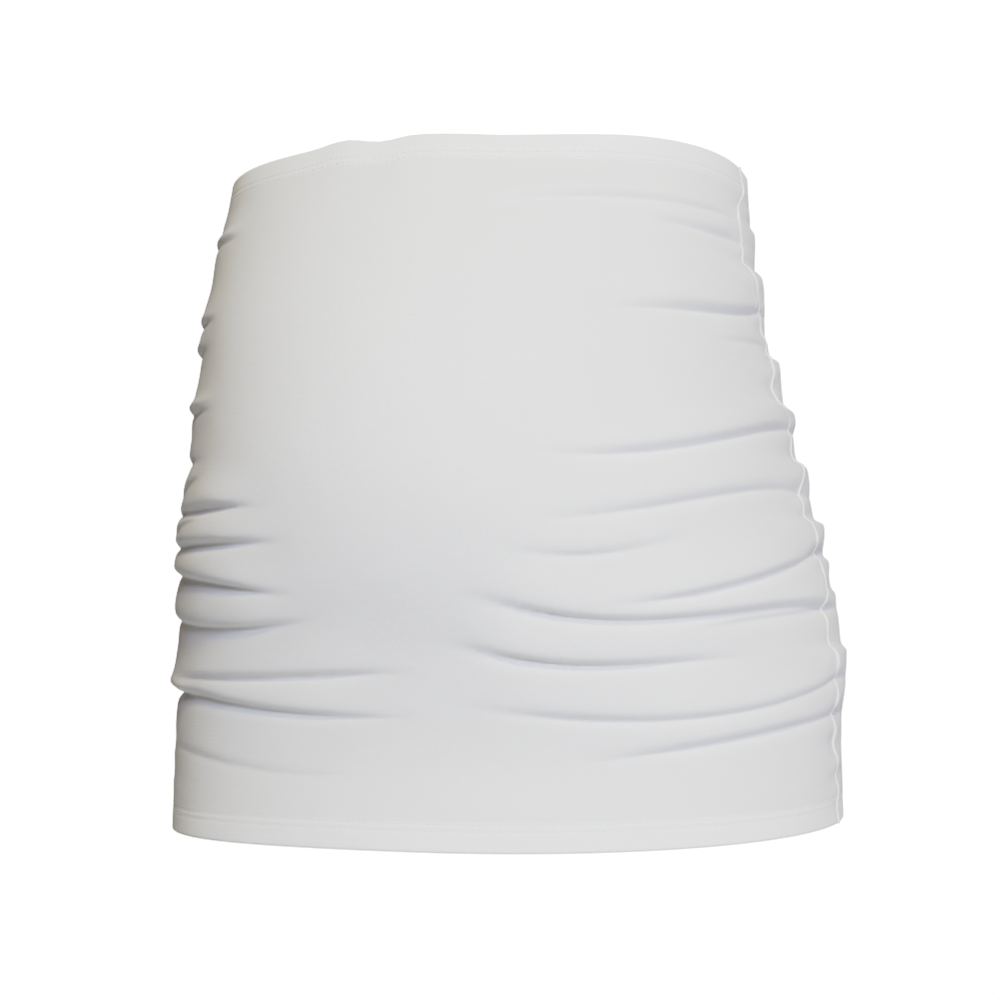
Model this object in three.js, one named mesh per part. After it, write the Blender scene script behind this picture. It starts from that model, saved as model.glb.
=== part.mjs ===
// Maternity support belt: a tube of thin cotton jersey, ruched at both side seams
// Millimetres, +Z up, the wearer's front towards -Y and the wearer's left towards +X
import * as THREE from "three";

// Driving sizes of the band as worn
const bandHeight = 330;
const hipHalfWidth = 182;
const bellyDepth = 190;
const backDepth = 130;

// Cloth, hems and side seams
const jerseyWall = 1.2;
const hemWall = 2.4;
const topHemHeight = 13.5;
const bottomHemHeight = 13.5;
const seamWidth = 3;
const seamProud = 0.5;
const seamInside = 4;
const seamAhead = 6.5;
const sewnGap = 0.3;

// How far each rim rises above a level line, at the wearer's left, the wearer's right and the front
const topRimRise = { left: 7.8, right: 7.2, front: 5.6 };
const bottomRimRise = { left: -0.5, right: -8.9, front: -6.2 };

// Small puckers that the gathering thread leaves on both sides of a seam
const puckerPitch = 17;
const puckerHeight = 1.1;
const puckerReach = 0.1;

// How many faces each piece has round the body and up it
const frontColumns = 24;
const backColumns = 20;
const panelRows = 44;
const hemRows = 3;

// Body sections: rise is a share of bandHeight, width and lean are shares of hipHalfWidth,
// front is a share of bellyDepth and back is a share of backDepth
const sections = [
  { rise: 0, width: 0.9975, front: 0.775, back: 0.98, lean: 0.0143 },
  { rise: 0.12, width: 0.995, front: 0.75, back: 1, lean: 0.014 },
  { rise: 0.25, width: 0.984, front: 0.82, back: 0.97, lean: 0.023 },
  { rise: 0.38, width: 0.948, front: 0.94, back: 0.9, lean: 0.018 },
  { rise: 0.5, width: 0.902, front: 1, back: 0.83, lean: 0.012 },
  { rise: 0.62, width: 0.859, front: 0.985, back: 0.775, lean: -0.003 },
  { rise: 0.75, width: 0.828, front: 0.91, back: 0.75, lean: -0.026 },
  { rise: 0.88, width: 0.798, front: 0.8, back: 0.755, lean: -0.03 },
  { rise: 1, width: 0.783, front: 0.685, back: 0.77, lean: -0.027 },
];

// The seam's wander as it is drawn up: degrees that it lies ahead of its mean line at each rise
const seamWander = [
  { rise: 0, ahead: -1.2 },
  { rise: 0.09, ahead: -0.6 },
  { rise: 0.185, ahead: 1.6 },
  { rise: 0.26, ahead: 3 },
  { rise: 0.33, ahead: 2.6 },
  { rise: 0.385, ahead: -1.2 },
  { rise: 0.42, ahead: 1.4 },
  { rise: 0.48, ahead: 1 },
  { rise: 0.52, ahead: -1.4 },
  { rise: 0.565, ahead: -3.8 },
  { rise: 0.6, ahead: -3.6 },
  { rise: 0.625, ahead: 0.6 },
  { rise: 0.67, ahead: -0.4 },
  { rise: 0.725, ahead: -4.4 },
  { rise: 0.765, ahead: -2.6 },
  { rise: 0.805, ahead: 0.2 },
  { rise: 0.835, ahead: 2.6 },
  { rise: 0.875, ahead: 3.4 },
  { rise: 0.915, ahead: 5.4 },
  { rise: 0.962, ahead: -1.4 },
  { rise: 1, ahead: -0.3 },
];

// Folds that run from a side seam towards the middle of their panel
// from and to are shares of the way from the seam to the panel's middle
// start, next, then and end are the crease's rises at the ends and thirds of that run
// depth and width are in millimetres, and peak is where along the run the fold is deepest
const leftFrontFolds = [
  { from: 0, to: 0.8, start: 0.916, next: 0.906, then: 0.902, end: 0.86, depth: 1.3, width: 10, peak: 0.5 },
  { from: 0, to: 0.4, start: 0.902, next: 0.88, then: 0.864, end: 0.862, depth: 2.2, width: 12, peak: 0.4 },
  { from: 0, to: 0.58, start: 0.772, next: 0.743, then: 0.736, end: 0.728, depth: 4, width: 15, peak: 0.3 },
  { from: 0, to: 0.3, start: 0.723, next: 0.716, then: 0.71, end: 0.706, depth: 1.4, width: 12, peak: 0.4 },
  { from: 0, to: 0.76, start: 0.59, next: 0.566, then: 0.533, end: 0.538, depth: 4.2, width: 15, peak: 0.4 },
  { from: 0, to: 0.76, start: 0.49, next: 0.484, then: 0.457, end: 0.444, depth: 3, width: 19, peak: 0.4 },
  { from: 0.38, to: 0.8, start: 0.424, next: 0.408, then: 0.395, end: 0.412, depth: 1.8, width: 14, peak: 0.5 },
  { from: 0, to: 0.64, start: 0.402, next: 0.372, then: 0.344, end: 0.335, depth: 4, width: 15, peak: 0.4 },
  { from: 0, to: 0.9, start: 0.318, next: 0.318, then: 0.309, end: 0.358, depth: 4.4, width: 15, peak: 0.65 },
  { from: 0, to: 0.5, start: 0.319, next: 0.311, then: 0.303, end: 0.284, depth: 1.8, width: 12, peak: 0.3 },
  { from: 0.28, to: 0.94, start: 0.256, next: 0.251, then: 0.251, end: 0.29, depth: 4.4, width: 16, peak: 0.6 },
  { from: 0, to: 0.9, start: 0.216, next: 0.184, then: 0.174, end: 0.204, depth: 3, width: 17, peak: 0.4 },
  { from: 0, to: 0.7, start: 0.163, next: 0.151, then: 0.133, end: 0.118, depth: 3.6, width: 18, peak: 0.3 },
];
const rightFrontFolds = [
  { from: 0, to: 0.5, start: 0.892, next: 0.888, then: 0.884, end: 0.88, depth: 1.4, width: 13, peak: 0.4 },
  { from: 0, to: 0.48, start: 0.768, next: 0.764, then: 0.76, end: 0.756, depth: 2.4, width: 13, peak: 0.4 },
  { from: 0, to: 0.46, start: 0.728, next: 0.722, then: 0.718, end: 0.714, depth: 2, width: 12, peak: 0.4 },
  { from: 0, to: 0.5, start: 0.632, next: 0.628, then: 0.622, end: 0.616, depth: 2.4, width: 14, peak: 0.4 },
  { from: 0, to: 0.5, start: 0.56, next: 0.556, then: 0.55, end: 0.545, depth: 1.6, width: 13, peak: 0.4 },
  { from: 0, to: 0.68, start: 0.478, next: 0.472, then: 0.468, end: 0.463, depth: 3.6, width: 17, peak: 0.5 },
  { from: 0, to: 0.72, start: 0.432, next: 0.425, then: 0.417, end: 0.408, depth: 4, width: 14, peak: 0.5 },
  { from: 0, to: 0.78, start: 0.4, next: 0.386, then: 0.368, end: 0.34, depth: 5.4, width: 14, peak: 0.6 },
  { from: 0, to: 0.82, start: 0.325, next: 0.315, then: 0.297, end: 0.316, depth: 4.4, width: 16, peak: 0.6 },
  { from: 0.2, to: 0.94, start: 0.236, next: 0.233, then: 0.234, end: 0.242, depth: 2.8, width: 14, peak: 0.5 },
  { from: 0, to: 0.45, start: 0.212, next: 0.209, then: 0.206, end: 0.2, depth: 5.5, width: 10, peak: 0.4 },
  { from: 0, to: 0.95, start: 0.216, next: 0.212, then: 0.202, end: 0.191, depth: 4.2, width: 12, peak: 0.45 },
  { from: 0.1, to: 0.95, start: 0.128, next: 0.122, then: 0.102, end: 0.104, depth: 1.4, width: 18, peak: 0.5 },
];
const leftBackFolds = [
  { from: 0.14, to: 0.6, start: 0.765, next: 0.758, then: 0.752, end: 0.75, depth: 2, width: 14, peak: 0.4 },
  { from: 0.12, to: 0.5, start: 0.652, next: 0.646, then: 0.64, end: 0.637, depth: 1.8, width: 13, peak: 0.4 },
  { from: 0.14, to: 0.62, start: 0.49, next: 0.48, then: 0.474, end: 0.472, depth: 2.2, width: 15, peak: 0.4 },
  { from: 0.12, to: 0.55, start: 0.3, next: 0.292, then: 0.288, end: 0.286, depth: 2, width: 14, peak: 0.4 },
  { from: 0.1, to: 0.5, start: 0.15, next: 0.144, then: 0.14, end: 0.138, depth: 1.8, width: 15, peak: 0.4 },
];
const rightBackFolds = [
  { from: 0, to: 0.34, start: 0.9, next: 0.896, then: 0.89, end: 0.885, depth: 2.2, width: 13, peak: 0.3 },
  { from: 0, to: 0.5, start: 0.83, next: 0.822, then: 0.815, end: 0.81, depth: 3, width: 15, peak: 0.3 },
  { from: 0, to: 0.3, start: 0.765, next: 0.758, then: 0.752, end: 0.748, depth: 2.4, width: 13, peak: 0.3 },
  { from: 0, to: 0.56, start: 0.69, next: 0.678, then: 0.668, end: 0.664, depth: 3.4, width: 16, peak: 0.3 },
  { from: 0, to: 0.36, start: 0.615, next: 0.606, then: 0.6, end: 0.596, depth: 2.6, width: 14, peak: 0.3 },
  { from: 0, to: 0.6, start: 0.545, next: 0.53, then: 0.518, end: 0.514, depth: 3.6, width: 16, peak: 0.3 },
  { from: 0, to: 0.34, start: 0.47, next: 0.461, then: 0.454, end: 0.45, depth: 2.4, width: 14, peak: 0.3 },
  { from: 0, to: 0.62, start: 0.4, next: 0.384, then: 0.372, end: 0.37, depth: 3.8, width: 17, peak: 0.35 },
  { from: 0, to: 0.4, start: 0.325, next: 0.314, then: 0.306, end: 0.303, depth: 2.8, width: 14, peak: 0.3 },
  { from: 0, to: 0.56, start: 0.255, next: 0.24, then: 0.23, end: 0.228, depth: 3.4, width: 17, peak: 0.3 },
  { from: 0, to: 0.32, start: 0.18, next: 0.172, then: 0.166, end: 0.163, depth: 2.2, width: 14, peak: 0.3 },
  { from: 0, to: 0.44, start: 0.115, next: 0.108, then: 0.103, end: 0.101, depth: 1.8, width: 16, peak: 0.3 },
];

// Gathers bunched beside the seams: rise of each one's upper edge, height and fall in millimetres,
// and the share of the way to the panel's middle over which it dies out
const leftSeamGathers = [
  { rise: 0.905, height: 3, fall: 11, reach: 0.22 },
  { rise: 0.833, height: 4, fall: 20, reach: 0.4 },
  { rise: 0.7, height: 4.5, fall: 18, reach: 0.28 },
  { rise: 0.616, height: 4.5, fall: 12, reach: 0.5 },
  { rise: 0.531, height: 4, fall: 17, reach: 0.24 },
  { rise: 0.443, height: 5, fall: 11, reach: 0.44 },
  { rise: 0.388, height: 3, fall: 9, reach: 0.18 },
  { rise: 0.338, height: 2.4, fall: 24, reach: 0.34 },
  { rise: 0.253, height: 3, fall: 20, reach: 0.46 },
];
const rightSeamGathers = [
  { rise: 0.894, height: 2.2, fall: 24, reach: 0.16 },
  { rise: 0.768, height: 1.6, fall: 9, reach: 0.16 },
  { rise: 0.728, height: 2, fall: 5, reach: 0.12 },
  { rise: 0.634, height: 3, fall: 14, reach: 0.16 },
  { rise: 0.473, height: 2.5, fall: 8, reach: 0.16 },
  { rise: 0.422, height: 1.2, fall: 5, reach: 0.12 },
  { rise: 0.396, height: 0.8, fall: 5, reach: 0.12 },
];

// Millimetres that a gather's upper edge is rounded over, the shares of the way from the seam
// at which gathers are highest, and the share over which they rise towards that
const gatherEdge = 4;
const leftGathersAt = 0.08;
const rightGathersAt = 0.22;
const gatherStart = 0.16;

// The top rim's waves: millimetres that it stands above its even line at each turn
const topRimWaves = [
  { turn: 20, lift: 0 },
  { turn: 48, lift: -0.6 },
  { turn: 66, lift: -0.2 },
  { turn: 75, lift: 2.2 },
  { turn: 83, lift: -0.5 },
  { turn: 90, lift: 1.4 },
  { turn: 100, lift: 0.4 },
  { turn: 108, lift: -0.8 },
  { turn: 122, lift: -0.2 },
  { turn: 136, lift: 1.2 },
  { turn: 152, lift: 1.4 },
  { turn: 175, lift: 0.4 },
  { turn: 190, lift: 0 },
];
const rimWaveReach = 0.14;

// A fold's section, in shares of its width: its crown stands this far above the crease, and the cloth
// falls away over these widths above and below the crown; the groove lies just below the crease
const crownAbove = 0.45;
const fallAbove = 0.8;
const fallBelow = 0.4;
const grooveBelow = 0.25;
const grooveWidth = 0.35;

// Shares of a fold's depth: how deep its groove is, and how high it still stands at the seam
const grooveDepth = 0.35;
const depthAtSeam = 0.6;

// Share of every lift that is left at a hem's free edge, where the doubled cloth lies flatter
const liftAtRim = 0.35;

// Turns round the body are in degrees: 0 at the wearer's right, 90 at the front, 180 at the left, 270 at the back
const rightSide = 0;
const frontMiddle = 90;
const leftSide = 180;
const backMiddle = 270;
const fullTurn = 360;

const ease = (share) => THREE.MathUtils.smoothstep(share, 0, 1);

// Smooth value of one column of a table at a rise, or at a value of another rising key
function readTable(rows, column, at, key = "rise") {
  const last = rows.length - 1;
  const r = THREE.MathUtils.clamp(at, rows[0][key], rows[last][key]);
  let i = 0;
  while (i < last - 1 && r > rows[i + 1][key]) i += 1;
  const slope = (k) => {
    const below = rows[Math.max(k - 1, 0)];
    const above = rows[Math.min(k + 1, last)];
    return (above[column] - below[column]) / (above[key] - below[key]);
  };
  const span = rows[i + 1][key] - rows[i][key];
  const t = (r - rows[i][key]) / span;
  const here = rows[i][column];
  const next = rows[i + 1][column];
  return (
    here * (1 - t) ** 2 * (1 + 2 * t) +
    next * t ** 2 * (3 - 2 * t) +
    span * (slope(i) * t * (1 - t) ** 2 - slope(i + 1) * t ** 2 * (1 - t))
  );
}

// Cubic through four values at equal steps
function throughFour(a, b, c, d, share) {
  const t = 3 * THREE.MathUtils.clamp(share, 0, 1);
  return (
    (-a * (t - 1) * (t - 2) * (t - 3)) / 6 +
    (b * t * (t - 2) * (t - 3)) / 2 -
    (c * t * (t - 1) * (t - 3)) / 2 +
    (d * t * (t - 1) * (t - 2)) / 6
  );
}

// The turn of each side seam at a rise
const leftSeamTurn = (rise) => leftSide - seamAhead - readTable(seamWander, "ahead", rise);
const rightSeamTurn = (rise) => rightSide + seamAhead + readTable(seamWander, "ahead", rise);

// Height that one fold lifts the cloth, at a share of the way from its seam and a rise
function foldLift(fold, share, rise) {
  const run = (share - fold.from) / (fold.to - fold.from);
  if (run >= 1 || run < -0.4) return 0;
  const crease = throughFour(fold.start, fold.next, fold.then, fold.end, run);
  const above = (rise - crease) * bandHeight;
  if (Math.abs(above) > 3 * fold.width) return 0;
  const crown = crownAbove * fold.width;
  const slack = fold.width * (above > crown ? fallAbove : fallBelow);
  const ridge = Math.exp(-(((above - crown) / slack) ** 2));
  const groove = grooveDepth * Math.exp(-(((above / fold.width + grooveBelow) / grooveWidth) ** 2));
  const atSeam = fold.from > 0 ? 0 : depthAtSeam;
  const seamEnd = ease((run + 0.25) / 0.3);
  const outer = atSeam + (1 - atSeam) * ease(run / fold.peak);
  const inner = ease((1 - run) / (1 - fold.peak));
  const strength = run < fold.peak ? seamEnd * outer : inner;
  return fold.depth * strength * (ridge - groove);
}

// Lift of the gathers at a share of the way from their seam: sharp above, sinking back below
function gatherLift(gathers, share, middle, rise) {
  const away = share - middle;
  const lifts = gathers.map((gather) => {
    const below = (gather.rise - rise) * bandHeight;
    const slack = below < 0 ? gatherEdge : gather.fall;
    const spread = away < 0 ? gatherStart : gather.reach;
    return gather.height * Math.exp(-((below / slack) ** 2) - (away / spread) ** 2);
  });
  return lifts.reduce((sum, lift) => sum + lift, 0);
}

// Lift of the small puckers close to a seam
function puckerLift(share, rise) {
  const height = rise * bandHeight;
  const wave = Math.cos((2 * Math.PI * height) / puckerPitch + 1.7 * Math.sin(height / (2.3 * puckerPitch)));
  return puckerHeight * wave * Math.exp(-((share / puckerReach) ** 2));
}

// How far the cloth stands off the smooth body at a turn and a rise; hems stay flatter than the panels
function clothLift(turn, rise) {
  const left = leftSeamTurn(rise);
  const right = rightSeamTurn(rise);
  const t = turn > right + fullTurn / 2 && turn > backMiddle ? turn - fullTurn : turn;
  const fromLeftFront = (left - turn) / (left - frontMiddle);
  const fromRightFront = (t - right) / (frontMiddle - right);
  const fromLeftBack = (turn - left) / (backMiddle - left);
  const fromRightBack = (right - t) / (right + fullTurn - backMiddle);
  const lifts = [
    ...leftFrontFolds.map((fold) => foldLift(fold, fromLeftFront, rise)),
    ...rightFrontFolds.map((fold) => foldLift(fold, fromRightFront, rise)),
    ...leftBackFolds.map((fold) => foldLift(fold, fromLeftBack, rise)),
    ...rightBackFolds.map((fold) => foldLift(fold, fromRightBack, rise)),
    gatherLift(leftSeamGathers, fromLeftBack, leftGathersAt, rise),
    gatherLift(rightSeamGathers, fromRightFront, rightGathersAt, rise),
    puckerLift(fromLeftFront, rise),
    puckerLift(fromRightFront, rise),
  ];
  const total = lifts.reduce((sum, lift) => sum + lift, 0);
  const nearRim = Math.min(rise * bandHeight, (1 - rise) * bandHeight);
  return total * (liftAtRim + (1 - liftAtRim) * ease(nearRim / (2 * topHemHeight)));
}

// Point of the smooth body under the cloth
function bodyPoint(turn, rise) {
  const angle = THREE.MathUtils.degToRad(turn);
  const across = -Math.cos(angle);
  const ahead = Math.sin(angle);
  const width = readTable(sections, "width", rise) * hipHalfWidth;
  const lean = readTable(sections, "lean", rise) * hipHalfWidth;
  const front = readTable(sections, "front", rise) * bellyDepth;
  const back = readTable(sections, "back", rise) * backDepth;
  const waves = ease(1 - (1 - rise) / rimWaveReach) * readTable(topRimWaves, "lift", turn, "turn");
  const rimRise = (rim) => (across > 0 ? rim.left : rim.right) * across ** 2 + rim.front * Math.max(ahead, 0);
  return new THREE.Vector3(
    width * across + lean,
    -(ahead > 0 ? front : back) * ahead,
    rise * bandHeight + rise * rimRise(topRimRise) + (1 - rise) * rimRise(bottomRimRise) + waves,
  );
}

// Point of the cloth at a turn and a rise, out millimetres beyond its outer face
function clothPoint(turn, rise, out) {
  const turnStep = 0.5;
  const riseStep = 0.004;
  const along = bodyPoint(turn + turnStep, rise).sub(bodyPoint(turn - turnStep, rise));
  const low = Math.max(rise - riseStep, 0);
  const high = Math.min(rise + riseStep, 1);
  const up = bodyPoint(turn, high).sub(bodyPoint(turn, low));
  const outward = along.cross(up).normalize();
  return bodyPoint(turn, rise).addScaledVector(outward, clothLift(turn, rise) + out);
}

// Degrees of turn that one millimetre along the cloth takes
function turnPerMillimetre(turn, rise) {
  return 1 / bodyPoint(turn + 0.5, rise).distanceTo(bodyPoint(turn - 0.5, rise));
}

// A wall of cloth: a box with its faces bent to the places that place gives for
// shares across, up and through it, outer face first
function clothWall(columns, rows, layers, place) {
  const geometry = new THREE.BoxGeometry(1, 1, 1, columns, rows, layers);
  geometry.deleteAttribute("uv");
  const corners = geometry.attributes.position;
  for (let i = 0; i < corners.count; i += 1) {
    const point = place(corners.getX(i) + 0.5, corners.getY(i) + 0.5, 0.5 - corners.getZ(i));
    corners.setXYZ(i, point.x, point.y, point.z);
  }
  geometry.computeVertexNormals();
  return geometry;
}

const jersey = (colour) => new THREE.MeshStandardMaterial({ color: colour, roughness: 0.92, metalness: 0 });

function namedPiece(name, geometry, material) {
  const mesh = new THREE.Mesh(geometry, material);
  mesh.name = name;
  return mesh;
}

// Turn at a share across a panel, with room left for the seam at each end
const seamRoom = seamWidth / 2 + sewnGap;
function turnInFront(share, rise) {
  const first = rightSeamTurn(rise);
  const last = leftSeamTurn(rise);
  const start = first + seamRoom * turnPerMillimetre(first, rise);
  const stop = last - seamRoom * turnPerMillimetre(last, rise);
  return start + (stop - start) * share;
}
function turnAtBack(share, rise) {
  const first = leftSeamTurn(rise);
  const last = rightSeamTurn(rise) + fullTurn;
  const start = first + seamRoom * turnPerMillimetre(first, rise);
  const stop = last - seamRoom * turnPerMillimetre(last, rise);
  return start + (stop - start) * share;
}

// Rises at which the hems are sewn and at which the panels end, one sewn gap away
const bottomHemTop = bottomHemHeight / bandHeight;
const topHemBottom = 1 - topHemHeight / bandHeight;
const panelBottom = (bottomHemHeight + sewnGap) / bandHeight;
const panelTop = 1 - (topHemHeight + sewnGap) / bandHeight;

const steps = (low, high, rows) => Array.from({ length: rows + 1 }, (_, i) => low + ((high - low) * i) / rows);

// A seam has the rows of the hems and panels that it joins, so that their edges follow each other
const seamRises = [
  ...steps(0, bottomHemTop, hemRows),
  ...steps(panelBottom, panelTop, panelRows),
  ...steps(topHemBottom, 1, hemRows),
];

function panel(name, columns, turnAt) {
  const geometry = clothWall(columns, panelRows, 1, (across, up, inward) => {
    const rise = panelBottom + (panelTop - panelBottom) * up;
    return clothPoint(turnAt(across, rise), rise, -inward * jerseyWall);
  });
  return namedPiece(name, geometry, jersey(0xf1f0ee));
}

// A hem is folded double, so its free edge is round: the wall narrows to its middle there
function hem(name, columns, turnAt, freeRise, sewnRise) {
  const geometry = clothWall(columns, hemRows, 2, (across, up, inward) => {
    const rise = Math.min(freeRise, sewnRise) + Math.abs(sewnRise - freeRise) * up;
    const fromEdge = (Math.abs(rise - freeRise) * bandHeight) / hemWall;
    const fullness = 0.4 + 0.6 * Math.min(fromEdge, 1);
    const depth = hemWall * (0.5 + (inward - 0.5) * fullness);
    return clothPoint(turnAt(across, rise), rise, -depth);
  });
  return namedPiece(name, geometry, jersey(0xf3f2f0));
}

// A side seam: a narrow ridge outside, and the gathered allowance standing inside
function sideSeam(name, seamTurn) {
  const rows = seamRises.length - 1;
  const geometry = clothWall(2, rows, 2, (across, up, inward) => {
    const rise = seamRises[Math.round(up * rows)];
    const turn = seamTurn(rise);
    const sideways = (across - 0.5) * seamWidth;
    const middle = across === 0.5;
    const outer = middle ? seamProud : 0;
    const inner = middle ? seamInside : hemWall;
    const out = outer - (outer + inner) * inward;
    return clothPoint(turn + sideways * turnPerMillimetre(turn, rise), rise, out);
  });
  return namedPiece(name, geometry, jersey(0xf6f5f3));
}

const supportBelt = new THREE.Group();
supportBelt.add(
  panel("front_panel", frontColumns, turnInFront),
  panel("back_panel", backColumns, turnAtBack),
  hem("top_hem_front", frontColumns, turnInFront, 1, topHemBottom),
  hem("top_hem_back", backColumns, turnAtBack, 1, topHemBottom),
  hem("bottom_hem_front", frontColumns, turnInFront, 0, bottomHemTop),
  hem("bottom_hem_back", backColumns, turnAtBack, 0, bottomHemTop),
  sideSeam("left_side_seam", leftSeamTurn),
  sideSeam("right_side_seam", rightSeamTurn),
);

export default supportBelt;
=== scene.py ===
import math

import bmesh
import bpy
import numpy as np
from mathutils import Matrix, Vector, noise


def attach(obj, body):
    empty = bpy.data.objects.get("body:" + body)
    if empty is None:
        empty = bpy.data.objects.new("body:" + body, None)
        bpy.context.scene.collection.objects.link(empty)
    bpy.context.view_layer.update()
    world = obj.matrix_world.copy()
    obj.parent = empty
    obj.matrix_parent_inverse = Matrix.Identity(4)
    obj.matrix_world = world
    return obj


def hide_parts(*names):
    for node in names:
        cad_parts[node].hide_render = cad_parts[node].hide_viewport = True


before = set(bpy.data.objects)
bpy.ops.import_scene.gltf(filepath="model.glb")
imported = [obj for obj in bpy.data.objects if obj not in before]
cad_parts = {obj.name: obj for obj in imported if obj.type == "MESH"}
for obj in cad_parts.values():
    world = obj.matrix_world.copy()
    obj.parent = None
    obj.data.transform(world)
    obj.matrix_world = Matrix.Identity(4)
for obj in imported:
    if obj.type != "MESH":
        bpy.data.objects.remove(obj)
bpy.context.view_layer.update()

scene = bpy.context.scene
MM = 0.001

# Camera
# It stands a metre from the wearer's left front, a little above the hips, and looks slightly up.
CAMERA_TURN = 16.0
CAMERA_REACH = 0.999
CAMERA_SIDESTEP = 0.0013
CAMERA_HEIGHT = 0.0977
CAMERA_TILT = 3.98
CAMERA_LENS = 65.9

turn = math.radians(CAMERA_TURN)
camera_data = bpy.data.cameras.new("camera")
camera_data.lens = CAMERA_LENS
camera_data.sensor_width = 36.0
camera = bpy.data.objects.new("camera", camera_data)
camera.location = (
    CAMERA_REACH * math.sin(turn) + CAMERA_SIDESTEP * math.cos(turn),
    -CAMERA_REACH * math.cos(turn) + CAMERA_SIDESTEP * math.sin(turn),
    CAMERA_HEIGHT,
)
camera.rotation_euler = (math.radians(90 + CAMERA_TILT), 0, turn)
scene.collection.objects.link(camera)
scene.camera = camera

# Studio
# A white room with a warm lamp high to the right of the camera, a broader cool one lower and further
# to the right, a weak warm one at each side and one high behind.
FLOOR_LEVEL = -0.86
FLOOR_REACH = 3.0
LAMPS_AIM = (0, 0, 0.16)


def studio_lamp(name, place, size, power, colour):
    lamp_data = bpy.data.lights.new(name, "AREA")
    lamp_data.shape = "DISK"
    lamp_data.size = size
    lamp_data.energy = power
    lamp_data.color = colour
    lamp = bpy.data.objects.new(name, lamp_data)
    lamp.location = place
    lamp.rotation_euler = (Vector(LAMPS_AIM) - Vector(place)).to_track_quat("-Z", "Y").to_euler()
    scene.collection.objects.link(lamp)


studio_lamp("key_lamp", (0.66, -1.66, 1.5), 0.3, 13.6, (1.0, 0.91, 0.53))
studio_lamp("fill_lamp", (1.1, -2.05, 0.85), 0.6, 28.2, (0.74, 0.795, 1.0))
studio_lamp("left_edge_lamp", (-2.1, 0.2, 1.6), 0.5, 1.8, (1.0, 0.55, 0.1))
studio_lamp("right_edge_lamp", (2.2, 0.8, 0.8), 0.5, 0.8, (1.0, 0.6, 0.2))
studio_lamp("back_lamp", (-0.6, 2.1, 1.9), 0.8, 32.0, (1.0, 0.98, 0.95))

room = bpy.data.worlds.new("white_room")
room.use_nodes = True
room_nodes, room_links = room.node_tree.nodes, room.node_tree.links
room_nodes.clear()
seen_white = room_nodes.new("ShaderNodeBackground")
seen_white.inputs["Color"].default_value = (1, 1, 1, 1)
seen_white.inputs["Strength"].default_value = 1.02
room_light = room_nodes.new("ShaderNodeBackground")
room_light.inputs["Color"].default_value = (1.0, 0.93, 0.84, 1)
room_light.inputs["Strength"].default_value = 0.03
kind_of_ray = room_nodes.new("ShaderNodeLightPath")
either = room_nodes.new("ShaderNodeMixShader")
room_output = room_nodes.new("ShaderNodeOutputWorld")
room_links.new(kind_of_ray.outputs["Is Camera Ray"], either.inputs["Fac"])
room_links.new(room_light.outputs[0], either.inputs[1])
room_links.new(seen_white.outputs[0], either.inputs[2])
room_links.new(either.outputs[0], room_output.inputs["Surface"])
scene.world = room

# Pale cloth on white is exposed with a soft shoulder, so its bright faces lie close together in tone
SHOULDER = [
    (0.15, 0.26),
    (0.225, 0.37),
    (0.3, 0.5),
    (0.375, 0.585),
    (0.475, 0.66),
    (0.6, 0.725),
    (0.75, 0.785),
    (0.9, 0.88),
]
view = scene.view_settings
view.view_transform = "Standard"
view.use_curve_mapping = True
tone_curve = view.curve_mapping.curves[3]
for scene_light, shown_light in SHOULDER:
    tone_curve.points.new(scene_light, shown_light)
view.curve_mapping.update()

floor_mesh = bmesh.new()
bmesh.ops.create_circle(floor_mesh, cap_ends=True, segments=96, radius=FLOOR_REACH)
bmesh.ops.translate(floor_mesh, verts=floor_mesh.verts, vec=(0, 0, FLOOR_LEVEL))
floor_data = bpy.data.meshes.new("floor")
floor_mesh.to_mesh(floor_data)
floor_mesh.free()
floor = bpy.data.objects.new("floor", floor_data)
scene.collection.objects.link(floor)
floor_paint = bpy.data.materials.new("pale_floor")
floor_paint.use_nodes = True
floor_shader = floor_paint.node_tree.nodes["Principled BSDF"]
floor_shader.inputs["Base Color"].default_value = (0.86, 0.86, 0.86, 1)
floor_shader.inputs["Roughness"].default_value = 0.8
floor_data.materials.append(floor_paint)

# Front panel
# A panel of thin white cotton jersey with a little elastane, cut longer than its side seams.
# The seams are sewn over gathering thread, so they draw the panel up into folds that run
# towards the belly, while the belly itself stretches the middle smooth.
BAND_HEIGHT = 0.330
HIP_HALF_WIDTH = 0.182
BELLY_DEPTH = 0.190
BACK_DEPTH = 0.130
JERSEY_WALL = 0.0012
HEM_WALL = 0.0024
TOP_HEM_HEIGHT = 0.0135
BOTTOM_HEM_HEIGHT = 0.0135
SEAM_WIDTH = 0.003
SEAM_PROUD = 0.0005
SEAM_INSIDE = 0.004
SEAM_AHEAD = 6.5
SEWN_GAP = 0.0003
TOP_RIM_RISE = dict(left=0.0078, right=0.0072, front=0.0056)
BOTTOM_RIM_RISE = dict(left=-0.0005, right=-0.0089, front=-0.0062)
PUCKER_PITCH = 0.017
PUCKER_HEIGHT = 0.0008
PUCKER_REACH = 0.06
# How far in radians the puckers drift off their even pitch, and how slowly, in pitches
PUCKER_DRIFT = 1.7
PUCKER_DRIFT_PITCHES = 2.3
CREASE_WIDTH = 0.0019
CREASE_ROUND = 0.0009
FOLD_FADE = 0.6
LIFT_AT_RIM = 0.35
# A turn goes round the band in degrees from the wearer's right, and a rise is a share of its height
FRONT_MIDDLE, LEFT_SIDE, BACK_MIDDLE, FULL_TURN = 90.0, 180.0, 270.0, 360.0

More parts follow.
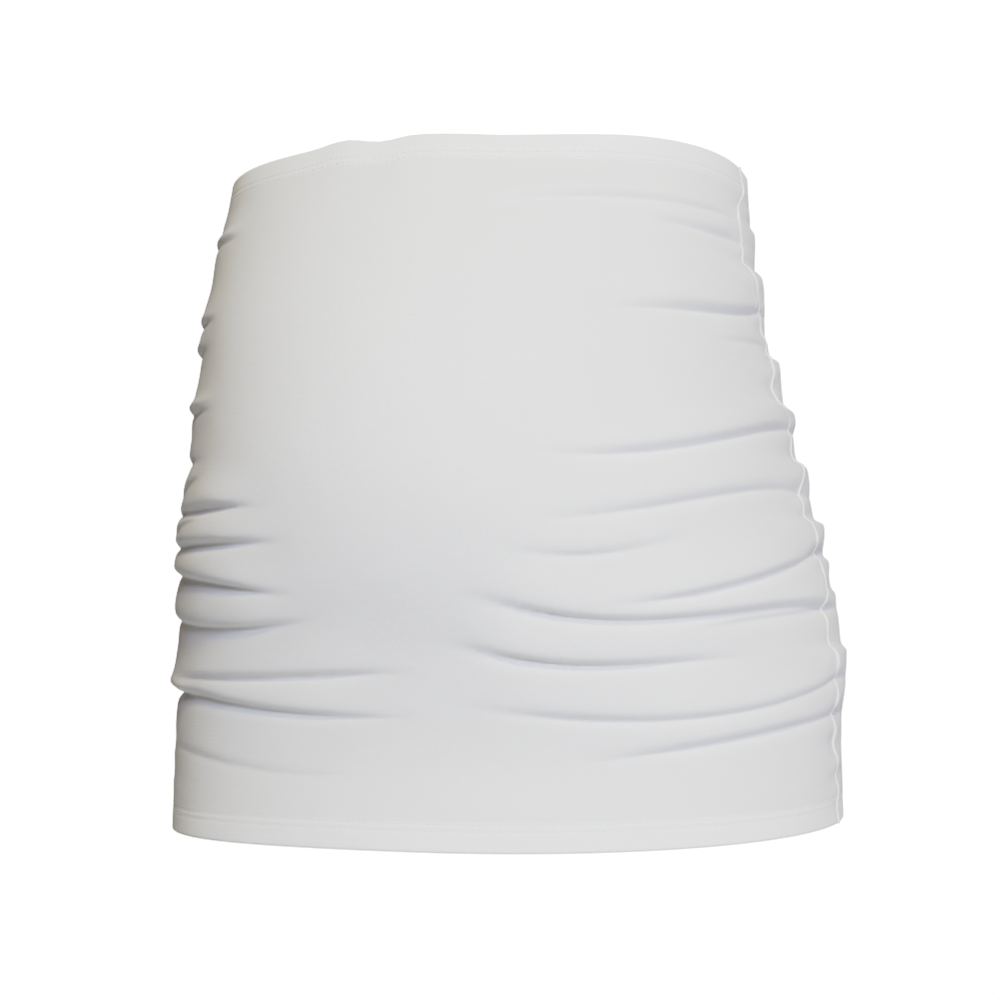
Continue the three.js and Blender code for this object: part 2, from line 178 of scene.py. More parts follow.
# Body sections: shares of the sizes above at each rise up the band
BODY_SECTIONS = [
    dict(rise=0.0, width=0.9975, front=0.775, back=0.98, lean=0.0143),
    dict(rise=0.12, width=0.995, front=0.75, back=1.0, lean=0.014),
    dict(rise=0.25, width=0.984, front=0.82, back=0.97, lean=0.023),
    dict(rise=0.38, width=0.948, front=0.94, back=0.9, lean=0.018),
    dict(rise=0.5, width=0.902, front=1.0, back=0.83, lean=0.012),
    dict(rise=0.62, width=0.859, front=0.985, back=0.775, lean=-0.003),
    dict(rise=0.75, width=0.828, front=0.91, back=0.75, lean=-0.026),
    dict(rise=0.88, width=0.798, front=0.8, back=0.755, lean=-0.03),
    dict(rise=1.0, width=0.783, front=0.685, back=0.77, lean=-0.027),
]

# The seam's wander: degrees ahead of its mean line
SEAM_WANDER = [
    dict(rise=0.0, ahead=-1.2),
    dict(rise=0.09, ahead=-0.6),
    dict(rise=0.185, ahead=1.6),
    dict(rise=0.26, ahead=3),
    dict(rise=0.33, ahead=2.6),
    dict(rise=0.385, ahead=-1.2),
    dict(rise=0.42, ahead=1.4),
    dict(rise=0.48, ahead=1),
    dict(rise=0.52, ahead=-1.4),
    dict(rise=0.565, ahead=-3.8),
    dict(rise=0.6, ahead=-3.6),
    dict(rise=0.625, ahead=0.6),
    dict(rise=0.67, ahead=-0.4),
    dict(rise=0.725, ahead=-4.4),
    dict(rise=0.765, ahead=-2.6),
    dict(rise=0.805, ahead=0.2),
    dict(rise=0.835, ahead=2.6),
    dict(rise=0.875, ahead=3.4),
    dict(rise=0.915, ahead=5.4),
    dict(rise=0.962, ahead=-1.4),
    dict(rise=1.0, ahead=-0.3),
]

# The top rim's waves: millimetres that it stands above its even line at each turn
TOP_RIM_WAVES = [
    dict(turn=20, lift=0.0),
    dict(turn=48, lift=-0.6),
    dict(turn=66, lift=-0.2),
    dict(turn=75, lift=2.2),
    dict(turn=83, lift=-0.5),
    dict(turn=90, lift=1.4),
    dict(turn=100, lift=0.4),
    dict(turn=108, lift=-0.8),
    dict(turn=122, lift=-0.2),
    dict(turn=136, lift=1.2),
    dict(turn=152, lift=1.4),
    dict(turn=175, lift=0.4),
    dict(turn=190, lift=0.0),
]
RIM_WAVE_REACH = 0.14


def fold(reach, crease, depth, width, peak):
    """One fold: reach along the way from seam to middle, the crease's rise at four even steps,
    depth and width in millimetres, and where along it the fold is deepest."""
    return dict(reach=reach, crease=crease, depth=depth * MM, width=width * MM, peak=peak)


LEFT_FRONT_FOLDS = [
    fold((0.0, 0.88), (0.908, 0.903, 0.9, 0.874), 2.3, 10, 0.5),
    fold((0.0, 0.44), (0.872, 0.872, 0.874, 0.88), 2.2, 15, 0.4),
    fold((0.0, 0.6), (0.774, 0.751, 0.742, 0.73), 4.0, 16, 0.3),
    fold((0.0, 0.3), (0.723, 0.716, 0.71, 0.706), 1.4, 12, 0.4),
    fold((0.0, 0.76), (0.59, 0.566, 0.533, 0.538), 4.2, 15, 0.4),
    fold((0.0, 0.76), (0.49, 0.484, 0.457, 0.444), 3.0, 19, 0.4),
    fold((0.38, 0.8), (0.424, 0.408, 0.395, 0.412), 1.8, 14, 0.5),
    fold((0.0, 0.64), (0.402, 0.372, 0.344, 0.335), 4.0, 15, 0.4),
    fold((0.0, 0.9), (0.318, 0.318, 0.309, 0.358), 4.4, 15, 0.65),
    fold((0.0, 0.5), (0.319, 0.311, 0.303, 0.284), 1.8, 12, 0.3),
    fold((0.28, 0.94), (0.256, 0.251, 0.251, 0.29), 4.4, 16, 0.6),
    fold((0.0, 0.95), (0.216, 0.184, 0.174, 0.204), 3.0, 17, 0.5),
    fold((0.0, 0.74), (0.163, 0.151, 0.133, 0.116), 3.6, 18, 0.4),
]
RIGHT_FRONT_FOLDS = [
    fold((0.0, 0.5), (0.892, 0.888, 0.884, 0.88), 1.4, 13, 0.4),
    fold((0.0, 0.48), (0.768, 0.764, 0.76, 0.756), 2.4, 13, 0.4),
    fold((0.0, 0.46), (0.728, 0.722, 0.718, 0.714), 2.0, 12, 0.4),
    fold((0.0, 0.5), (0.632, 0.628, 0.622, 0.616), 2.4, 14, 0.4),
    fold((0.0, 0.5), (0.56, 0.556, 0.55, 0.545), 1.6, 13, 0.4),
    fold((0.22, 0.48), (0.492, 0.506, 0.516, 0.52), 1.4, 8, 0.4),
    fold((0.0, 0.72), (0.476, 0.474, 0.473, 0.468), 3.6, 13, 0.55),
    fold((0.22, 0.46), (0.445, 0.452, 0.458, 0.46), 1.2, 7, 0.4),
    fold((0.0, 0.78), (0.431, 0.426, 0.423, 0.418), 4.0, 12, 0.52),
    fold((0.0, 0.78), (0.4, 0.386, 0.368, 0.345), 4.2, 14, 0.6),
    fold((0.0, 0.82), (0.325, 0.315, 0.303, 0.318), 3.6, 15, 0.6),
    fold((0.2, 1.02), (0.236, 0.233, 0.235, 0.244), 3.0, 16, 0.55),
    fold((0.0, 0.42), (0.214, 0.211, 0.208, 0.202), 5.0, 6.5, 0.5),
    fold((0.0, 1.02), (0.216, 0.211, 0.187, 0.181), 3.6, 14, 0.55),
    fold((0.1, 0.95), (0.128, 0.122, 0.102, 0.104), 0.9, 16, 0.5),
]
LEFT_BACK_FOLDS = [
    fold((0.14, 0.6), (0.765, 0.758, 0.752, 0.75), 2.0, 14, 0.4),
    fold((0.12, 0.5), (0.652, 0.646, 0.64, 0.637), 1.8, 13, 0.4),
    fold((0.14, 0.62), (0.49, 0.48, 0.474, 0.472), 2.2, 15, 0.4),
    fold((0.12, 0.55), (0.3, 0.292, 0.288, 0.286), 2.0, 14, 0.4),
    fold((0.1, 0.5), (0.15, 0.144, 0.14, 0.138), 1.8, 15, 0.4),
]
RIGHT_BACK_FOLDS = [
    fold((0.0, 0.34), (0.9, 0.896, 0.89, 0.885), 2.2, 13, 0.3),
    fold((0.0, 0.5), (0.83, 0.822, 0.815, 0.81), 3.0, 15, 0.3),
    fold((0.0, 0.3), (0.765, 0.758, 0.752, 0.748), 2.4, 13, 0.3),
    fold((0.0, 0.56), (0.69, 0.678, 0.668, 0.664), 3.4, 16, 0.3),
    fold((0.0, 0.36), (0.615, 0.606, 0.6, 0.596), 2.6, 14, 0.3),
    fold((0.0, 0.6), (0.545, 0.53, 0.518, 0.514), 3.6, 16, 0.3),
    fold((0.0, 0.34), (0.47, 0.461, 0.454, 0.45), 2.4, 14, 0.3),
    fold((0.0, 0.62), (0.4, 0.384, 0.372, 0.37), 3.8, 17, 0.35),
    fold((0.0, 0.4), (0.325, 0.314, 0.306, 0.303), 2.8, 14, 0.3),
    fold((0.0, 0.56), (0.255, 0.24, 0.23, 0.228), 3.4, 17, 0.3),
    fold((0.0, 0.32), (0.18, 0.172, 0.166, 0.163), 2.2, 14, 0.3),
    fold((0.0, 0.44), (0.115, 0.108, 0.103, 0.101), 1.8, 16, 0.3),
]

# Gathers bunched beside the seams: rise of each one's sharp upper edge, height and fall in
# millimetres, and the share of the way to the panel's middle over which it dies out
LEFT_SEAM_GATHERS = [
    dict(rise=0.905, height=3.0, fall=11, reach=0.22),
    dict(rise=0.833, height=4.0, fall=20, reach=0.4),
    dict(rise=0.7, height=4.5, fall=18, reach=0.28),
    dict(rise=0.616, height=4.5, fall=12, reach=0.5),
    dict(rise=0.531, height=4.0, fall=17, reach=0.24),
    dict(rise=0.443, height=5.0, fall=11, reach=0.44),
    dict(rise=0.388, height=3.0, fall=9, reach=0.18),
    dict(rise=0.338, height=2.4, fall=24, reach=0.34),
    dict(rise=0.253, height=3.0, fall=20, reach=0.46),
]
RIGHT_SEAM_GATHERS = [
    dict(rise=0.894, height=2.2, fall=24, reach=0.16),
    dict(rise=0.768, height=1.6, fall=9, reach=0.16),
    dict(rise=0.728, height=2.0, fall=5, reach=0.12),
    dict(rise=0.634, height=3.0, fall=14, reach=0.16),
    dict(rise=0.473, height=2.5, fall=8, reach=0.16),
    dict(rise=0.422, height=1.2, fall=5, reach=0.12),
    dict(rise=0.396, height=0.8, fall=5, reach=0.12),
]
GATHER_EDGE = 0.003
LEFT_GATHERS_AT = 0.08
RIGHT_GATHERS_AT = 0.22
GATHER_START = 0.16


def read_table(table, column, at, key="rise"):
    """Smooth value of one column at each rise, or at each value of another rising key."""
    keys = np.array([row[key] for row in table])
    values = np.array([row[column] for row in table])
    slopes = np.empty_like(values)
    slopes[1:-1] = (values[2:] - values[:-2]) / (keys[2:] - keys[:-2])
    slopes[0] = (values[1] - values[0]) / (keys[1] - keys[0])
    slopes[-1] = (values[-1] - values[-2]) / (keys[-1] - keys[-2])
    at = np.clip(at, keys[0], keys[-1])
    i = np.clip(np.searchsorted(keys, at) - 1, 0, len(keys) - 2)
    span = keys[i + 1] - keys[i]
    t = (at - keys[i]) / span
    level = values[i] * (1 - t) ** 2 * (1 + 2 * t) + values[i + 1] * t**2 * (3 - 2 * t)
    return level + span * (slopes[i] * t * (1 - t) ** 2 - slopes[i + 1] * t**2 * (1 - t))


def ease(share):
    share = np.clip(share, 0, 1)
    return share * share * (3 - 2 * share)


def through_four(values, share):
    """Cubic through four values at even steps."""
    a, b, c, d = values
    t = 3 * np.clip(share, 0, 1)
    return (
        -a * (t - 1) * (t - 2) * (t - 3) / 6
        + b * t * (t - 2) * (t - 3) / 2
        - c * t * (t - 1) * (t - 3) / 2
        + d * t * (t - 1) * (t - 2) / 6
    )


def left_seam_turn(rise):
    return LEFT_SIDE - SEAM_AHEAD - read_table(SEAM_WANDER, "ahead", rise)


def right_seam_turn(rise):
    return SEAM_AHEAD + read_table(SEAM_WANDER, "ahead", rise)


# Shares of a fold's width: its crown's height above the crease, and how fast it falls away
CROWN_ABOVE, FALL_ABOVE, FALL_BELOW = 0.34, 0.85, 0.34
# Shares of a fold's depth: its ridge, its groove, and what is left of both at the seam
RIDGE_DEPTH, GROOVE_DEPTH, DEPTH_AT_SEAM = 0.85, 0.9, 0.6
# Shares of a fold's length: how far before its start it begins to rise, and over how much of it
LEAD_IN, LEAD_IN_RISE = 0.25, 0.3


def fold_lift(one, share, rise):
    """How far one fold lifts the cloth: a round ridge that hangs over a narrow crease."""
    start, stop = one["reach"]
    run = (share - start) / (stop - start)
    above = (rise - through_four(one["crease"], run)) * BAND_HEIGHT
    width = one["width"]
    crown = CROWN_ABOVE * width
    slack = np.where(above > crown, FALL_ABOVE * width, FALL_BELOW * width)
    ridge = RIDGE_DEPTH * np.exp(-(((above - crown) / slack) ** 2))
    groove = GROOVE_DEPTH * np.exp((CREASE_ROUND - np.hypot(above, CREASE_ROUND)) / CREASE_WIDTH)
    at_seam = 0.0 if start > 0 else DEPTH_AT_SEAM
    outer = ease((run + LEAD_IN) / LEAD_IN_RISE) * (at_seam + (1 - at_seam) * ease(run / one["peak"]))
    inner = ease((1 - run) / (FOLD_FADE * (1 - one["peak"])))
    strength = np.where(run < one["peak"], outer, inner)
    return one["depth"] * strength * (ridge - groove)


def gather_lift(gathers, share, middle, rise):
    """Gathers stand out sharply at their upper edges and sink back below them."""
    total = 0.0
    away = share - middle
    for one in gathers:
        below = (one["rise"] - rise) * BAND_HEIGHT
        slack = np.where(below < 0, GATHER_EDGE, one["fall"] * MM)
        spread = np.where(away < 0, GATHER_START, one["reach"])
        total = total + one["height"] * MM * np.exp(-((below / slack) ** 2) - (away / spread) ** 2)
    return total


def pucker_lift(share, rise):
    height = rise * BAND_HEIGHT
    drift = PUCKER_DRIFT * np.sin(height / (PUCKER_DRIFT_PITCHES * PUCKER_PITCH))
    wave = np.cos(2 * np.pi * height / PUCKER_PITCH + drift)
    return PUCKER_HEIGHT * wave * np.exp(-((share / PUCKER_REACH) ** 2))


def shares_from_seams(turn, rise):
    """Share of the way from each seam to each panel's middle: front from left, front from right,
    back from left, back from right."""
    left, right = left_seam_turn(rise), right_seam_turn(rise)
    t = np.where((turn > right + FULL_TURN / 2) & (turn > BACK_MIDDLE), turn - FULL_TURN, turn)
    return (
        (left - turn) / (left - FRONT_MIDDLE),
        (t - right) / (FRONT_MIDDLE - right),
        (turn - left) / (BACK_MIDDLE - left),
        (right - t) / (right + FULL_TURN - BACK_MIDDLE),
    )


def cloth_lift(turn, rise):
    """How far the cloth stands off the smooth body."""
    left_front, right_front, left_back, right_back = shares_from_seams(turn, rise)
    total = pucker_lift(left_front, rise) + pucker_lift(right_front, rise)
    total = total + gather_lift(LEFT_SEAM_GATHERS, left_back, LEFT_GATHERS_AT, rise)
    total = total + gather_lift(RIGHT_SEAM_GATHERS, right_front, RIGHT_GATHERS_AT, rise)
    for folds, share in (
        (LEFT_FRONT_FOLDS, left_front),
        (RIGHT_FRONT_FOLDS, right_front),
        (LEFT_BACK_FOLDS, left_back),
        (RIGHT_BACK_FOLDS, right_back),
    ):
        for one in folds:
            total = total + fold_lift(one, share, rise)
    near_rim = np.minimum(rise, 1 - rise) * BAND_HEIGHT
    return total * (LIFT_AT_RIM + (1 - LIFT_AT_RIM) * ease(near_rim / (2 * TOP_HEM_HEIGHT)))


def body_point(turn, rise):
    """Place on the smooth body under the cloth."""
    angle = np.radians(turn)
    across, ahead = -np.cos(angle), np.sin(angle)
    width = read_table(BODY_SECTIONS, "width", rise) * HIP_HALF_WIDTH
    lean = read_table(BODY_SECTIONS, "lean", rise) * HIP_HALF_WIDTH
    front = read_table(BODY_SECTIONS, "front", rise) * BELLY_DEPTH
    back = read_table(BODY_SECTIONS, "back", rise) * BACK_DEPTH

    def rim_rise(rim):
        side = np.where(across > 0, rim["left"], rim["right"])
        return side * across**2 + rim["front"] * np.maximum(ahead, 0)

    height = rise * BAND_HEIGHT + rise * rim_rise(TOP_RIM_RISE) + (1 - rise) * rim_rise(BOTTOM_RIM_RISE)
    near_top = ease(1 - (1 - rise) / RIM_WAVE_REACH)
    height = height + near_top * read_table(TOP_RIM_WAVES, "lift", turn, "turn") * MM
    return np.stack([width * across + lean, -np.where(ahead > 0, front, back) * ahead, height], axis=-1)


HALF_DEGREE = 0.5
RISE_STEP = 0.004


def one_degree_on(turn, rise):
    return body_point(turn + HALF_DEGREE, rise) - body_point(turn - HALF_DEGREE, rise)


def cloth_point(turn, rise, out):
    """Place on the cloth, out metres beyond its outer face."""
    along = one_degree_on(turn, rise)
    higher, lower = np.minimum(rise + RISE_STEP, 1), np.maximum(rise - RISE_STEP, 0)
    up = body_point(turn, higher) - body_point(turn, lower)
    outward = np.cross(along, up)
    outward /= np.linalg.norm(outward, axis=-1, keepdims=True)
    return body_point(turn, rise) + outward * (cloth_lift(turn, rise) + out)[..., None]


def turn_per_metre(turn, rise):
    return 1 / np.linalg.norm(one_degree_on(turn, rise), axis=-1)


SEAM_ROOM = SEAM_WIDTH / 2 + SEWN_GAP / 2


def turn_in_front(share, rise):
    first, last = right_seam_turn(rise), left_seam_turn(rise)
    start = first + SEAM_ROOM * turn_per_metre(first, rise)
    stop = last - SEAM_ROOM * turn_per_metre(last, rise)
    return start + (stop - start) * share


def turn_at_back(share, rise):
    first, last = left_seam_turn(rise), right_seam_turn(rise) + FULL_TURN
    start = first + SEAM_ROOM * turn_per_metre(first, rise)
    stop = last - SEAM_ROOM * turn_per_metre(last, rise)
    return start + (stop - start) * share


def laid_cloth(name, columns, rows, place):
    """A flat grid of cloth bent to the places that place gives for shares across and up it.
    Its UV map holds lengths along the cloth in metres."""
    sheet = bmesh.new()
    bmesh.ops.create_grid(sheet, x_segments=columns, y_segments=rows, size=0.5)
    sheet.verts.ensure_lookup_table()
    flat = np.array([vert.co[:2] for vert in sheet.verts]) + 0.5
    places, across, up = place(flat[:, 0], flat[:, 1])
    for vert, spot in zip(sheet.verts, places):
        vert.co = spot
    for edge in sheet.edges:
        edge.smooth = not edge.is_boundary
    data = bpy.data.meshes.new(name)
    sheet.to_mesh(data)
    sheet.free()
    corners = np.empty(len(data.loops), dtype=np.int32)
    data.loops.foreach_get("vertex_index", corners)
    cloth_map = data.uv_layers.new(name="cloth")
    cloth_map.data.foreach_set("uv", np.stack([across, up], axis=-1)[corners].ravel())
    data.polygons.foreach_set("use_smooth", np.ones(len(data.polygons), dtype=bool))
    piece = bpy.data.objects.new(name, data)
    scene.collection.objects.link(piece)
    return piece


CROWDING_AT_SEAMS = 0.55


def closer_at_seams(share):
    return share - CROWDING_AT_SEAMS * np.sin(2 * np.pi * share) / (2 * np.pi)


def give_wall(piece, thickness):
    wall = piece.modifiers.new("wall", "SOLIDIFY")
    wall.thickness = thickness
    wall.offset = -1.0
    wall.use_rim = True


JERSEY_WHITE = (0.845, 0.845, 0.845)
WALE_PITCH = 0.0009
COURSE_PITCH = 0.0007
# Blender's wave texture runs 20 / (2 pi) bands to a unit at scale 1
ONE_BAND_TO_A_UNIT = 2 * math.pi / 20
# Shares of its colour between which the cloth varies, and the lightest tone that it may get
DARKER, LIGHTER, LIGHTEST = 0.93, 1.05, 0.97


def jersey_finish(name, colour):
    """Fine white single jersey: upright wales of small loops, slubs along the courses, soft nap."""
    cloth = bpy.data.materials.new(name)
    cloth.use_nodes = True
    nodes, links = cloth.node_tree.nodes, cloth.node_tree.links
    shader = nodes["Principled BSDF"]
    shader.inputs["Roughness"].default_value = 0.9
    shader.inputs["Diffuse Roughness"].default_value = 0.15
    shader.inputs["Specular IOR Level"].default_value = 0.2

    lengths = nodes.new("ShaderNodeUVMap")
    lengths.uv_map = "cloth"

    def scaled(x, y):
        mapping = nodes.new("ShaderNodeMapping")
        mapping.inputs["Scale"].default_value = (x, y, 1)
        links.new(lengths.outputs["UV"], mapping.inputs["Vector"])
        return mapping.outputs["Vector"]

    def bands(direction, pitch):
        wave = nodes.new("ShaderNodeTexWave")
        wave.wave_type = "BANDS"
        wave.bands_direction = direction
        wave.wave_profile = "SIN"
        wave.inputs["Scale"].default_value = ONE_BAND_TO_A_UNIT
        wave.inputs["Distortion"].default_value = 0.6
        wave.inputs["Detail"].default_value = 1.0
        wave.inputs["Detail Scale"].default_value = 0.4
        links.new(scaled(1 / pitch, 1 / pitch), wave.inputs["Vector"])
        return wave.outputs["Fac"]

    def grain(x, y, detail):
        speckle = nodes.new("ShaderNodeTexNoise")
        speckle.inputs["Scale"].default_value = 1.0
        speckle.inputs["Detail"].default_value = detail
        speckle.inputs["Roughness"].default_value = 0.55
        links.new(scaled(x, y), speckle.inputs["Vector"])
        return speckle.outputs["Fac"]

    def weighted(value, factor):
        times = nodes.new("ShaderNodeMath")
        times.operation = "MULTIPLY"
        times.inputs[1].default_value = factor
        links.new(value, times.inputs[0])
        return times.outputs[0]

    def plus(first, second):
        add = nodes.new("ShaderNodeMath")
        add.operation = "ADD"
        links.new(first, add.inputs[0])
        links.new(second, add.inputs[1])
        return add.outputs[0]

    wales = bands("X", WALE_PITCH)
    courses = bands("Y", COURSE_PITCH)
    slubs = grain(70, 700, 2.0)
    nap = grain(1400, 1400, 2.0)
    cloudy = grain(22, 30, 3.0)
    surface = plus(
        plus(weighted(wales, 0.35), weighted(courses, 0.2)),
        plus(weighted(slubs, 0.5), weighted(nap, 0.6)),
    )
    relief = nodes.new("ShaderNodeBump")
    relief.inputs["Strength"].default_value = 0.35
    relief.inputs["Distance"].default_value = 0.0004
    links.new(surface, relief.inputs["Height"])
    links.new(relief.outputs["Normal"], shader.inputs["Normal"])

    shade = nodes.new("ShaderNodeMix")
    shade.data_type = "RGBA"
    shade.inputs["A"].default_value = (*[c * DARKER for c in colour], 1)
    shade.inputs["B"].default_value = (*[min(c * LIGHTER, LIGHTEST) for c in colour], 1)
    blend = plus(plus(weighted(slubs, 0.35), weighted(cloudy, 0.35)), weighted(nap, 0.3))
    links.new(blend, shade.inputs["Factor"])
    links.new(shade.outputs["Result"], shader.inputs["Base Color"])
    return cloth


panel_jersey = jersey_finish("panel_jersey", JERSEY_WHITE)

PANEL_BOTTOM = BOTTOM_HEM_HEIGHT / BAND_HEIGHT
PANEL_TOP = 1 - TOP_HEM_HEIGHT / BAND_HEIGHT
PANEL_COLUMNS = 106
PANEL_ROWS = 455
FINE_REACH = 0.28
FINE_HEIGHT = 0.0007
# The share of the band's height over which wrinkles grow from the hems, the share of the way to the
# middle that they run past a seam, and the weakest that is worked out
FINE_CLEAR_OF_HEMS = 0.03
FINE_PAST_SEAM = 0.03
FINE_LEAST = 0.02
# Steps of noise along the cloth and up it, its slant, and how far apart the four sides' sets lie
WRINKLES_ALONG = 5.0
WRINKLES_UP = 34.0
WRINKLE_SLANT = 1.5
WRINKLE_SET_STEP = 7.3


def wrinkle(side, share, rise):
    along, up = share * WRINKLES_ALONG, rise * WRINKLES_UP + WRINKLE_SLANT * share
    return noise.noise((along, up, WRINKLE_SET_STEP * side))


def fine_crumple(turn, rise):
    """Small wrinkles that run in from the seams and fade towards the middles."""
    shares = shares_from_seams(turn, rise)
    clear_of_hems = ease(np.minimum(rise - PANEL_BOTTOM, PANEL_TOP - rise) / FINE_CLEAR_OF_HEMS)
    lift = np.zeros_like(turn)
    for side, share in enumerate(shares):
        close = np.exp(-((np.maximum(share, 0) / FINE_REACH) ** 2))
        close = close * (share > -FINE_PAST_SEAM) * clear_of_hems
        ripple = np.array(
            [
                wrinkle(side, s, r) if c > FINE_LEAST else 0.0
                for s, r, c in zip(share, rise, close)
            ]
        )
        lift += FINE_HEIGHT * close * ripple
    return lift


def panel_place(turn_at, girth):
    """Where a panel lies between its hems."""

    def place(across, up):
        across = closer_at_seams(across)
        rise = PANEL_BOTTOM + (PANEL_TOP - PANEL_BOTTOM) * up
        turn = turn_at(across, rise)
        return cloth_point(turn, rise, fine_crumple(turn, rise)), across * girth, rise * BAND_HEIGHT

    return place


FRONT_GIRTH = 0.52
front_panel = laid_cloth(
    "front_panel_cloth", PANEL_COLUMNS, PANEL_ROWS, panel_place(turn_in_front, FRONT_GIRTH)
)
front_panel.data.materials.append(panel_jersey)
give_wall(front_panel, JERSEY_WALL)
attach(front_panel, "root")
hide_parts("front_panel")

# Back panel
# The same jersey over the waist and seat, gathered into the same two seams.
BACK_GIRTH = 0.42
back_panel = laid_cloth(
    "back_panel_cloth", PANEL_COLUMNS, PANEL_ROWS, panel_place(turn_at_back, BACK_GIRTH)
)
back_panel.data.materials.append(panel_jersey)
give_wall(back_panel, JERSEY_WALL)
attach(back_panel, "root")
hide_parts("back_panel")

# Hems
# Each rim's edge is turned in once and stitched flat, so a hem is the same jersey folded double
# with a soft round edge.
# Painted light: the hems get a lighter white than the panels' jersey, so the band along the bottom hem
# shows brighter as if lit from the floor below. The top hem gets the same lighter white.
HEM_PAINTED_LIGHT_WHITE = (0.925, 0.925, 0.925)
hem_jersey_painted_light = jersey_finish("hem_jersey_painted_light", HEM_PAINTED_LIGHT_WHITE)
HEM_PROFILE_ROWS = 56
HEM_LAYER = 0.0011
STITCH_LINES = (0.0094, 0.0124)
STITCH_SINK = 0.00028
STITCH_DIP_WIDTH = 0.0008


def hem_place(turn_at, girth, free_rise, sewn_rise):
    """A closed band round a folded edge: out along the face, round the edge and back inside."""
    height = abs(sewn_rise - free_rise) * BAND_HEIGHT
    radius = HEM_WALL / 2
    straight = height - radius
    path = 2 * straight + math.pi * radius
    direction = 1 if sewn_rise > free_rise else -1

    def place(across, round_it):
        walked = (round_it if direction < 0 else 1 - round_it) * path
        on_turn = np.clip((walked - straight) / radius, 0, math.pi)
        past = np.maximum(walked - straight - math.pi * radius, 0)
        from_edge = np.where(
            walked < straight,
            height - walked,
            np.where(past > 0, radius + past, radius * (1 - np.sin(on_turn))),
        )
        rounded = radius * (1 - np.cos(on_turn))
        depth = np.where(walked < straight, 0, np.where(past > 0, HEM_WALL, rounded))
        for line in STITCH_LINES:
            dip = STITCH_SINK * np.exp(-(((from_edge - line) / STITCH_DIP_WIDTH) ** 2))
            depth = depth + np.where(past > 0, -dip, dip)
        rise = free_rise + direction * from_edge / BAND_HEIGHT
        across = closer_at_seams(across)
        turn = turn_at(across, rise)
        return cloth_point(turn, rise, -depth), across * girth, walked

    return place


for name, turn_at, girth, free_rise, sewn_rise in (
    ("top_hem_front", turn_in_front, 0.46, 1.0, PANEL_TOP),
    ("top_hem_back", turn_at_back, 0.42, 1.0, PANEL_TOP),
    ("bottom_hem_front", turn_in_front, 0.5, 0.0, PANEL_BOTTOM),
    ("bottom_hem_back", turn_at_back, 0.5, 0.0, PANEL_BOTTOM),
):
    bent = hem_place(turn_at, girth, free_rise, sewn_rise)
    hem = laid_cloth(name + "_cloth", PANEL_COLUMNS, HEM_PROFILE_ROWS, bent)
    hem.data.materials.append(hem_jersey_painted_light)
    give_wall(hem, HEM_LAYER)
    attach(hem, "root")
    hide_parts(name)

# Hem stitches
# Each hem is held by a twin needle: two even rows of short white cotton stitches that run round
# the band a few millimetres apart and sink a little into the cloth.
STITCH_PITCH = 0.0031
STITCH_LENGTH = 0.0025
STITCH_THICKNESS = 0.00042
STITCH_WHITE = (0.84, 0.84, 0.835, 1)
# The share of its dip's depth at which a stitch's middle lies
STITCH_BITE = 0.6
RING_STEPS = 2400
# Degrees that stitches keep clear of a seam, and that are looked ahead for a stitch's direction
CLEAR_OF_SEAM = 0.9
NEXT_TURN = 0.2

stitch_thread = bpy.data.materials.new("stitch_thread")
stitch_thread.use_nodes = True
thread_shader = stitch_thread.node_tree.nodes["Principled BSDF"]
thread_shader.inputs["Base Color"].default_value = STITCH_WHITE
thread_shader.inputs["Roughness"].default_value = 0.7
thread_shader.inputs["Specular IOR Level"].default_value = 0.3


def stitch_frames(rise, lift):
    """Middles of one row of stitches right round the band, and each one's half length, half width and
    half height as three directions."""
    turns = np.linspace(0, FULL_TURN, RING_STEPS)
    ring = cloth_point(turns, np.full_like(turns, rise), np.full_like(turns, lift))
    walked = np.concatenate([[0], np.cumsum(np.linalg.norm(np.diff(ring, axis=0), axis=1))])
    count = int(walked[-1] / STITCH_PITCH)
    middles = np.interp((np.arange(count) + 0.5) * walked[-1] / count, walked, turns)
    rises = np.full_like(middles, rise)
    from_left, from_right = middles - left_seam_turn(rises), middles - right_seam_turn(rises)
    beside = np.minimum(np.abs(from_left), np.abs(from_right))
    clear = beside > CLEAR_OF_SEAM
    middles, rises = middles[clear], rises[clear]
    places = cloth_point(middles, rises, np.full_like(middles, lift))
    outward = (cloth_point(middles, rises, np.full_like(middles, lift + MM)) - places) / MM
    along = cloth_point(middles + NEXT_TURN, rises, np.full_like(middles, lift)) - places
    along /= np.linalg.norm(along, axis=1, keepdims=True)
    across = np.cross(outward, along)
    halves = np.array([STITCH_LENGTH, STITCH_THICKNESS, STITCH_THICKNESS]) / 2
    return places, np.stack([along, across, outward], axis=1) * halves[:, None]


one_stitch = bpy.data.meshes.new("one_stitch")
stitch_form = bmesh.new()
bmesh.ops.create_uvsphere(stitch_form, u_segments=6, v_segments=5, radius=1.0)
stitch_form.to_mesh(one_stitch)
stitch_form.free()
unit = np.array([vert.co for vert in one_stitch.vertices])

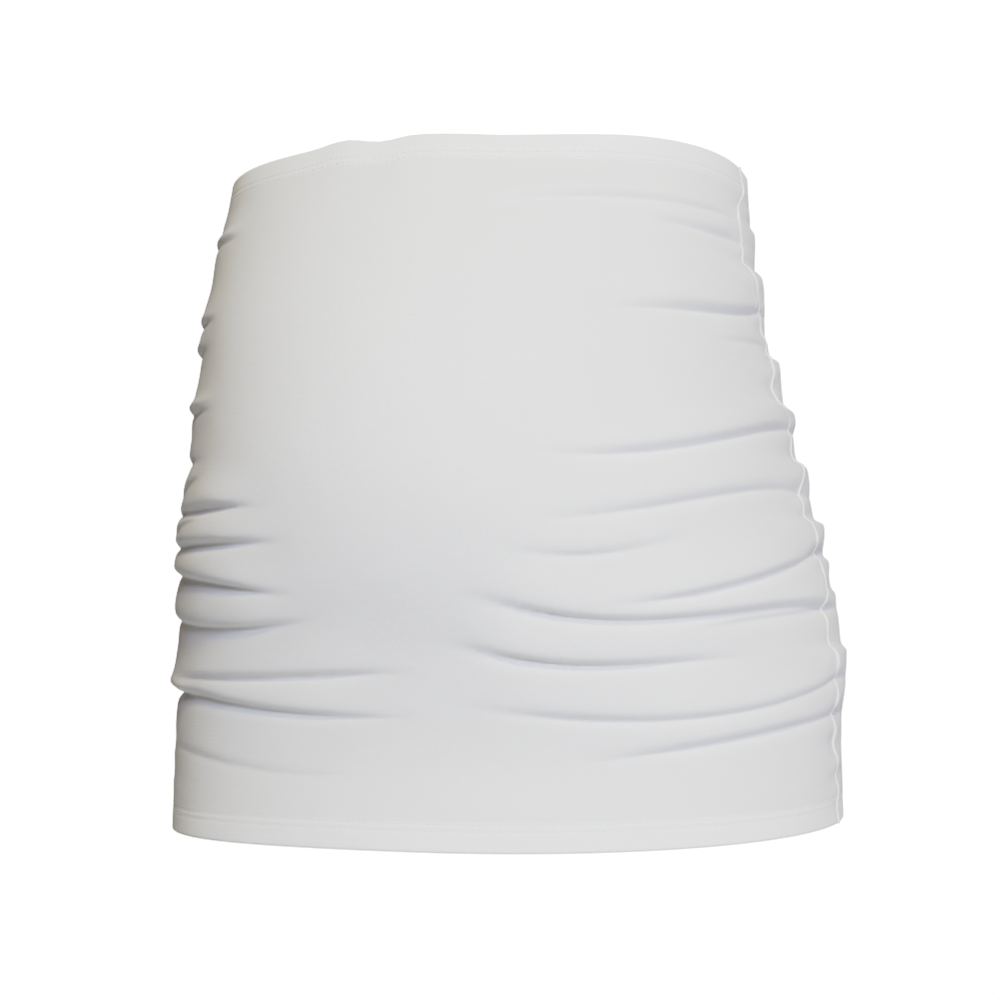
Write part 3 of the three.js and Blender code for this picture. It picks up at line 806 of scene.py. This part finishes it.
for name, free_rise, direction in (("top_hem_stitches", 1.0, -1), ("bottom_hem_stitches", 0.0, 1)):
    rows = [
        stitch_frames(free_rise + direction * line / BAND_HEIGHT, -STITCH_BITE * STITCH_SINK)
        for line in STITCH_LINES
    ]
    places = np.concatenate([row[0] for row in rows])
    frames = np.concatenate([row[1] for row in rows])
    threads = bmesh.new()
    for _ in places:
        threads.from_mesh(one_stitch)
    laid = (places[:, None, :] + unit @ frames).reshape(-1, 3)
    for vert, spot in zip(threads.verts, laid):
        vert.co = spot
    for face in threads.faces:
        face.smooth = True
    stitch_data = bpy.data.meshes.new(name)
    threads.to_mesh(stitch_data)
    threads.free()
    stitch_data.materials.append(stitch_thread)
    stitches = bpy.data.objects.new(name, stitch_data)
    scene.collection.objects.link(stitches)
    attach(stitches, "root")

# Side seams
# The two panels' raw edges are overlocked together over gathering thread. The joint shows as a
# narrow raised line outside, and its edge stands a few millimetres inside.
SEAM_WHITE = (0.9, 0.895, 0.885)
seam_thread = jersey_finish("seam_thread", SEAM_WHITE)
SEAM_ROWS = 300
SEAM_SIDES = 16
# The length of cloth once round the seam
SEAM_ROUND = 0.012
SAME_SPOT = 0.00002


def seam_place(seam_turn):
    """A narrow upright tube: shares across go once round its section."""

    def place(round_it, up):
        angle = 2 * np.pi * round_it
        turn = seam_turn(up)
        sideways = -np.cos(angle) * SEAM_WIDTH / 2
        middle = (SEAM_PROUD - SEAM_INSIDE) / 2
        reach = (SEAM_PROUD + SEAM_INSIDE) / 2
        out = middle + np.sin(angle) * reach
        spots = cloth_point(turn + sideways * turn_per_metre(turn, up), up, out)
        return spots, round_it * SEAM_ROUND, up * BAND_HEIGHT

    return place


for name, seam_turn in (("left_side_seam", left_seam_turn), ("right_side_seam", right_seam_turn)):
    seam = laid_cloth(name + "_cloth", SEAM_SIDES, SEAM_ROWS, seam_place(seam_turn))
    tube = bmesh.new()
    tube.from_mesh(seam.data)
    bmesh.ops.remove_doubles(tube, verts=tube.verts, dist=SAME_SPOT)
    bmesh.ops.holes_fill(tube, edges=[edge for edge in tube.edges if edge.is_boundary], sides=0)
    bmesh.ops.recalc_face_normals(tube, faces=tube.faces)
    tube.to_mesh(seam.data)
    tube.free()
    seam.data.materials.append(seam_thread)
    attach(seam, "root")
    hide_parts(name)
